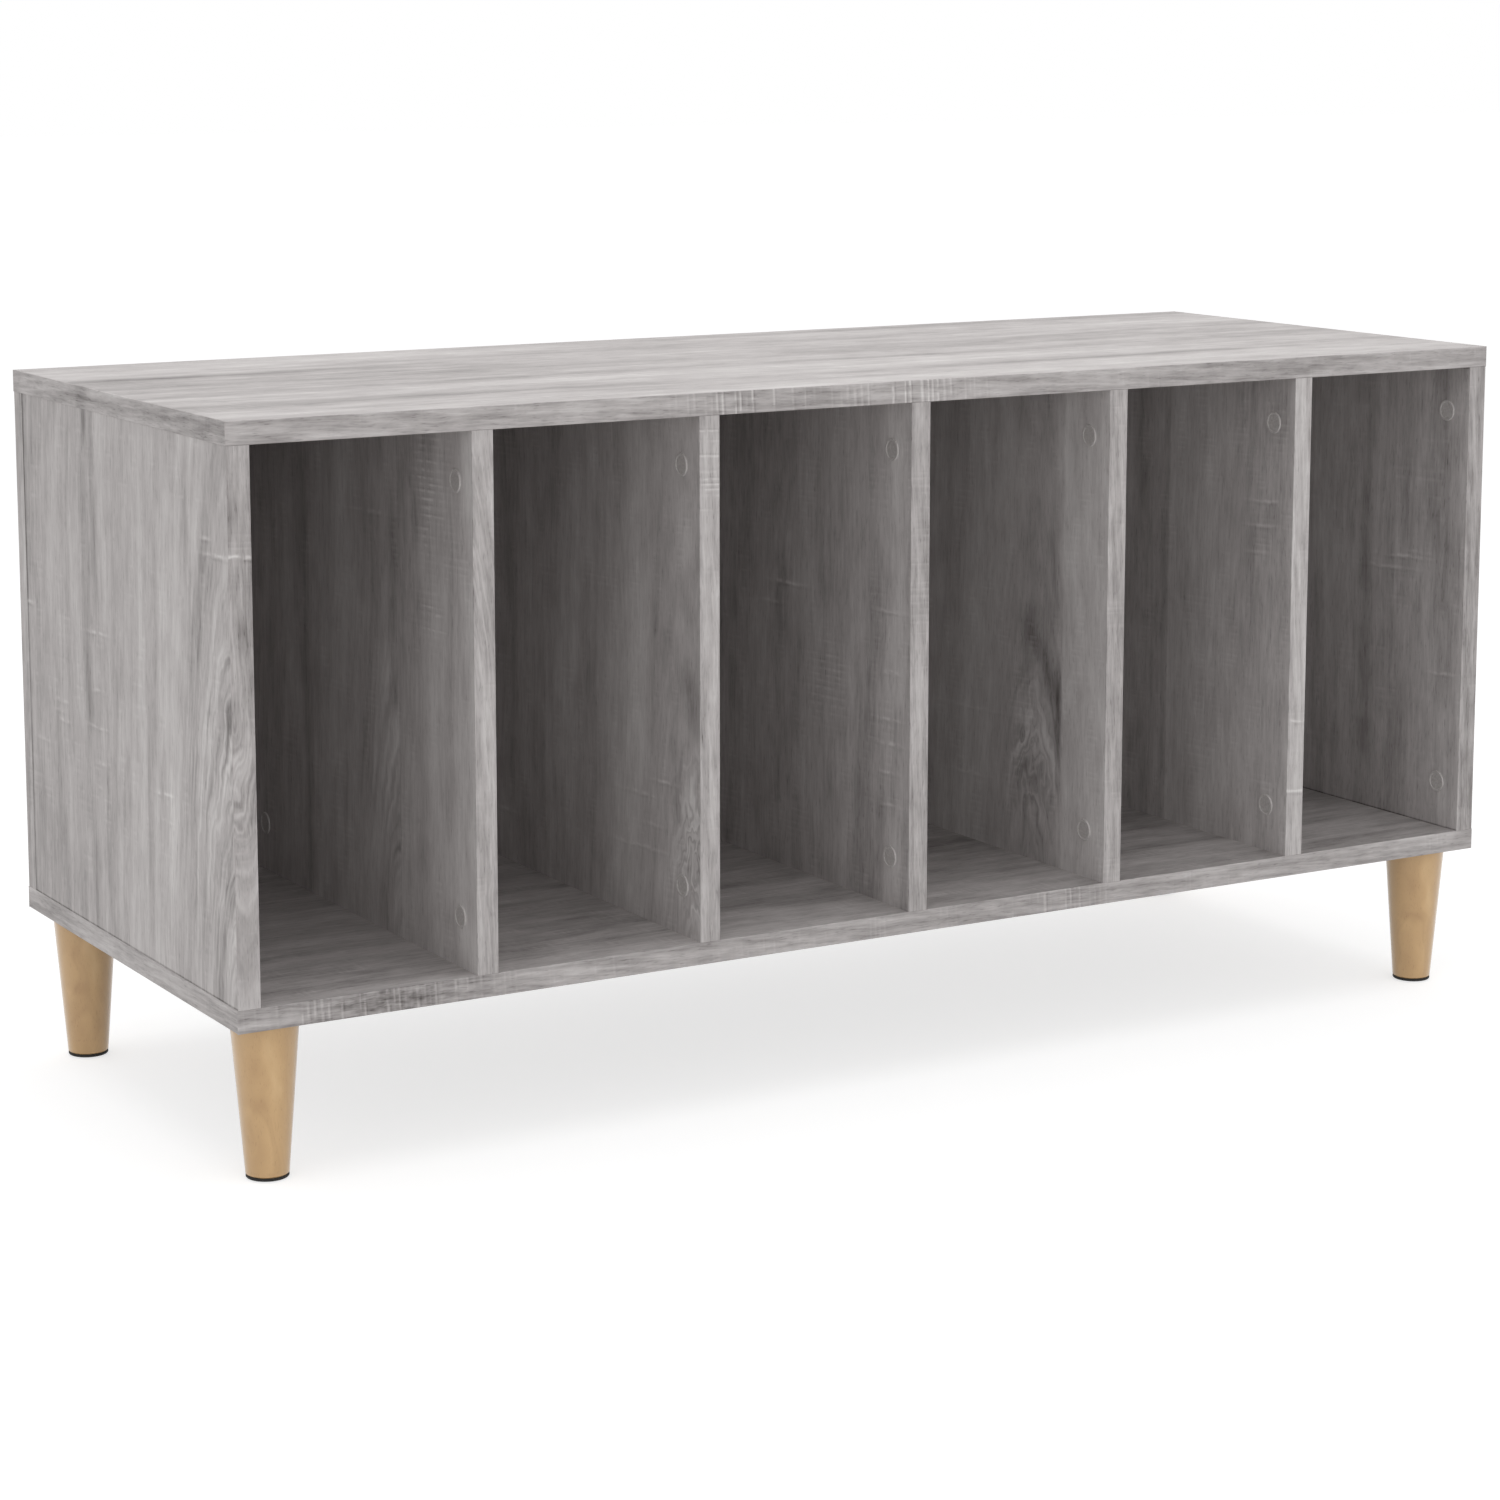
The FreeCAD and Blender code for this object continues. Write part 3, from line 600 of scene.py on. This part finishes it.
legNames = [name for name in nodes if name.endswith("_leg")]
for legName in legNames:
    low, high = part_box(legName)
    axis = [perMetre * (low[side] + high[side]) / 2 for side in (0, 1)]
    dress(makeBeech("turnedBeech_" + legName, beech, axis), legName)
dress(makeBeech("dowelBeech", dowelBeech), "dowels")
print("legs finished:", len(legNames))

# Moulded plastic and plated steel

glidePlastic = {
    "shades": ((0.3, (26, 25, 24)), (0.7, (46, 44, 42))), "specular": 0.3, "metallic": 0.0,
    "roughness": (0.55, 0.75), "roughTones": (0.3, 0.7), "bump": 0.00008, "bumpStrength": 0.5,
    "grain": (0.6, 0.6, 0.6), "grainDetail": 2.0, "seed": 1.0,
}
coverPlastic = {
    "shades": ((0.3, (166, 161, 159)), (0.7, (190, 186, 184))), "specular": 0.45, "metallic": 0.0,
    "roughness": (0.36, 0.46), "roughTones": (0.3, 0.7), "bump": 0.00002, "bumpStrength": 0.5,
    "grain": (1.5, 1.5, 1.5), "grainDetail": 2.0, "seed": 2.0,
    # the cover's radius, then where the painted highlight at the rim starts and ends, and how much it
    # lifts the tone
    "radius": 8, "rimStart": 5.8, "rimEnd": 6.6, "highlightLift": 0.12,
}
platedSteel = {
    "shades": ((0.3, (150, 150, 152)), (0.7, (196, 197, 200))), "specular": 0.5, "metallic": 1.0,
    "roughness": (0.28, 0.42), "roughTones": (0.3, 0.7), "bump": 0.00001, "bumpStrength": 0.5,
    "grain": (2.5, 2.5, 0.5), "grainDetail": 2.0, "seed": 3.0,
}


def paintedRimHighlight(tree, place, look):
    # painted highlight, paler towards the rim of each cover: they lie at two depths and two heights, so
    # the place is folded about the middle of them all, and measured from the middle of one
    corners = [[perMetre * part for part in corner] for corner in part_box("cam_covers")]
    middle = [(start + end) / 2 for start, end in zip(*corners)]
    reach = [(end - start) / 2 - look["radius"] for start, end in zip(*corners)]
    folded = vectorMaths(tree, "ABSOLUTE", vectorMaths(tree, "SUBTRACT", place, middle))
    offset = vectorMaths(tree, "SUBTRACT", folded, reach)
    offset = vectorMaths(tree, "MULTIPLY", offset, (0, 1, 1))
    distance = vectorMaths(tree, "LENGTH", offset)
    return window(tree, distance, look["rimStart"], look["rimEnd"], 0.0, look["highlightLift"])


def makeGrained(name, look):
    material, tree, shader = newFinish(name, look["specular"], look["metallic"])
    place = grainPlace(tree, "Y", "X")[0]
    speckle = cloud(tree, place, look["grain"], look["seed"], look["grainDetail"])
    # painted highlight at the rim of each cover
    if "highlightLift" in look:
        speckle = maths(tree, "ADD", speckle, paintedRimHighlight(tree, place, look))
    paint(tree, shader, speckle, look)
    return material


glideNames = [name for name in nodes if name.endswith("_glide")]
steelNames = ("leg_studs", "leg_inserts", "glide_nails", "cam_locks", "cam_bolts", "back_screws")
steel = makeGrained("platedSteel", platedSteel)
dress(makeGrained("glidePlastic", glidePlastic), *glideNames)
dress(makeGrained("coverPlastic", coverPlastic), "cam_covers")
dress(steel, *steelNames)
print("fittings finished")

# Back screws: countersunk, with a cross recess, each driven home to its own angle

backScrew = {
    "headRadius": 0.004, "headDepth": 0.002, "edge": 0.00015, "sides": 40,
    "shankRadius": 0.002, "length": 0.04, "pointLength": 0.005, "pointShare": 0.15,
    "slotLength": 0.0046, "slotWidth": 0.0009, "slotDepth": 0.0015, "slotTaper": 0.45,
    "firstTurn": 12, "turnStep": 37,
}
endFacing = 0.9     # an end face's normal is at least this upright


def facesUp(polygon):
    return polygon.normal.z > endFacing


def facesDown(polygon):
    return polygon.normal.z < -endFacing


def selectFaces(piece, wanted):
    # edit mode on this piece, with only the wanted faces selected
    bpy.ops.object.mode_set(mode="OBJECT")
    bpy.ops.object.select_all(action="DESELECT")
    piece.select_set(True)
    bpy.context.view_layer.objects.active = piece
    mesh = piece.data
    for part in (*mesh.edges, *mesh.vertices):
        part.select = False
    for polygon in mesh.polygons:
        polygon.select = wanted(polygon)
        if polygon.select:
            for index in polygon.vertices:
                mesh.vertices[index].select = True
    bpy.ops.object.mode_set(mode="EDIT")
    bpy.ops.mesh.select_mode(type="FACE")


def resizeEnd(scale):
    bpy.ops.transform.resize(value=(scale, scale, 1))


def drawOutEnd(distance, scale):
    # the selected end is extruded along the screw, then widened or narrowed
    bpy.ops.mesh.extrude_region_move(TRANSFORM_OT_translate={"value": (0, 0, distance)})
    resizeEnd(scale)


def makeRecessCutter(look):
    # two crossed blades, half above the head, narrowed towards the bottom of the recess
    blades = []
    for turn in (0, 90):
        bpy.ops.object.select_all(action="DESELECT")
        bpy.ops.mesh.primitive_cube_add(size=1.0)
        blade = bpy.context.object
        blade.scale = (look["slotLength"], look["slotWidth"], 2 * look["slotDepth"])
        blade.rotation_euler = (0, 0, math.radians(turn))
        bpy.ops.object.transform_apply(location=True, rotation=True, scale=True)
        selectFaces(blade, facesDown)
        resizeEnd(look["slotTaper"])
        bpy.ops.object.mode_set(mode="OBJECT")
        blades.append(blade)
    return blades


def makeBackScrew(look):
    # head up, with its top at the origin
    bpy.ops.object.select_all(action="DESELECT")
    shankLength = look["length"] - look["headDepth"] - look["pointLength"]
    middle = -look["headDepth"] - shankLength / 2
    bpy.ops.mesh.primitive_cylinder_add(
        vertices=look["sides"], radius=look["shankRadius"], depth=shankLength, location=(0, 0, middle),
    )
    screw = bpy.context.object
    screw.name = "crossHeadScrews"
    bpy.ops.object.transform_apply(location=True, rotation=True, scale=True)
    selectFaces(screw, facesUp)
    drawOutEnd(look["headDepth"] - look["edge"], look["headRadius"] / look["shankRadius"])
    drawOutEnd(look["edge"], 1 - look["edge"] / look["headRadius"])
    selectFaces(screw, facesDown)
    drawOutEnd(-look["pointLength"], look["pointShare"])
    bpy.ops.object.mode_set(mode="OBJECT")
    for blade in makeRecessCutter(look):
        bpy.ops.object.select_all(action="DESELECT")
        bpy.context.view_layer.objects.active = screw
        cut = screw.modifiers.new("recess", "BOOLEAN")
        cut.operation = "DIFFERENCE"
        cut.object = blade
        bpy.ops.object.modifier_apply(modifier=cut.name)
        bpy.data.objects.remove(blade)
    return screw


def setBackScrews(look):
    # one near the top and one near the bottom of each upright's middle line
    screw = makeBackScrew(look)
    low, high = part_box("back_screws")
    uprights = [name for name in boards if "side" in name or "divider" in name]
    lines = sorted(sum(corner[0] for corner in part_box(name)) / 2 for name in uprights)
    levels = (low[2] + look["headRadius"], high[2] - look["headRadius"])
    places = [(line, high[1], level) for line in lines for level in levels]
    screws = [screw]
    while len(screws) < len(places):
        bpy.ops.object.select_all(action="DESELECT")
        screw.select_set(True)
        bpy.context.view_layer.objects.active = screw
        bpy.ops.object.duplicate(linked=False)
        screws.append(bpy.context.object)
    bpy.ops.object.select_all(action="DESELECT")
    for number, (piece, place) in enumerate(zip(screws, places)):
        turn = look["firstTurn"] + look["turnStep"] * number
        piece.location = place
        piece.rotation_euler = (math.radians(-90), math.radians(turn), 0)    # head to the back
        piece.select_set(True)
    bpy.context.view_layer.objects.active = screw
    bpy.ops.object.join()
    bpy.ops.object.transform_apply(location=True, rotation=True, scale=True)
    screw.data.materials.clear()
    screw.data.materials.append(steel)
    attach(screw, "root")
    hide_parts("back_screws")


setBackScrews(backScrew)
print("back screws set")

# Studio: pale floor, even light all round, soft boxes overhead, to the left and in front

studio = {
    "ambient": 0.71,
    "floorSize": 40.0, "floorDrop": 0.0006, "floorSeen": 0.5, "floorGlow": 0.66, "floorBounce": 0.8,
    "boxes": {
        "overheadBox": {"place": (0.0, 0.0, 2.9), "target": (0.0, 0.0, 0.4), "size": 3.0, "power": 29.0},
        "leftBox": {"place": (-3.2, -1.5, 1.5), "target": (0.0, 0.0, 0.3), "size": 2.2, "power": 4.0},
        "frontBox": {"place": (-0.7, -3.2, 0.8), "target": (0.0, 0.0, 0.3), "size": 1.6, "power": 9.0},
    },
}


def seenDirectly(tree):
    # camera, mirror and see-through rays meet the white studio; the others meet its light
    rays = tree.nodes.new("ShaderNodeLightPath").outputs
    seen = maths(tree, "MAXIMUM", rays["Is Camera Ray"], rays["Is Glossy Ray"])
    return maths(tree, "MAXIMUM", seen, rays["Is Transmission Ray"])


def makeWorld(look):
    world = bpy.data.worlds.new("studioWorld")
    scene.world = world
    world.use_nodes = True
    tree = world.node_tree
    background = tree.nodes["Background"]
    background.inputs["Color"].default_value = (1, 1, 1, 1)
    strength = maths(tree, "MULTIPLY_ADD", seenDirectly(tree), 1.0 - look["ambient"], look["ambient"])
    feed(tree, strength, background.inputs["Strength"])


def makeFloor(look):
    # just below the glides, so that no two faces coincide
    bpy.ops.object.select_all(action="DESELECT")
    bpy.ops.mesh.primitive_plane_add(size=look["floorSize"], location=(0, 0, -look["floorDrop"]))
    floor = bpy.context.object
    floor.name = "studioFloor"
    material, tree, shader = newFinish("paleFloor", 0.0)
    shader.inputs["Roughness"].default_value = 1.0
    seen = seenDirectly(tree)
    change = look["floorSeen"] - look["floorBounce"]
    level = maths(tree, "MULTIPLY_ADD", seen, change, look["floorBounce"])
    feed(tree, vectorOf(tree, level, level, level), shader.inputs["Base Color"])
    shader.inputs["Emission Color"].default_value = (1, 1, 1, 1)
    feed(tree, maths(tree, "MULTIPLY", seen, look["floorGlow"]), shader.inputs["Emission Strength"])
    floor.data.materials.append(material)


def makeBox(name, look):
    lamp = bpy.data.lights.new(name, "AREA")
    lamp.energy = look["power"]
    lamp.size = look["size"]
    box = bpy.data.objects.new(name, lamp)
    scene.collection.objects.link(box)
    box.location = look["place"]
    aim = [end - start for start, end in zip(look["place"], look["target"])]
    level = math.hypot(aim[0], aim[1])
    box.rotation_euler = (math.atan2(level, -aim[2]), 0, math.atan2(-aim[0], aim[1]))
    box.visible_camera = False


makeWorld(studio)
makeFloor(studio)
for boxName, boxLook in studio["boxes"].items():
    makeBox(boxName, boxLook)
print("studio lit")

# Camera at the photograph's viewing angle

cameraLook = {
    "place": (-1.32576, -2.20371, 0.71992), "turn": 30.6248, "pitch": -8.6354,
    "sensor": 36, "lens": 86.547, "shift": -0.12,
}
lens = bpy.data.cameras.new("studioCamera")
lens.sensor_width = cameraLook["sensor"]
lens.lens = cameraLook["lens"]
lens.shift_y = cameraLook["shift"]
camera = bpy.data.objects.new("studioCamera", lens)
scene.collection.objects.link(camera)
camera.location = cameraLook["place"]
level = math.radians(90)    # an unturned camera looks straight down
camera.rotation_euler = (level + math.radians(cameraLook["pitch"]), 0, math.radians(-cameraLook["turn"]))
scene.camera = camera
print("camera set")
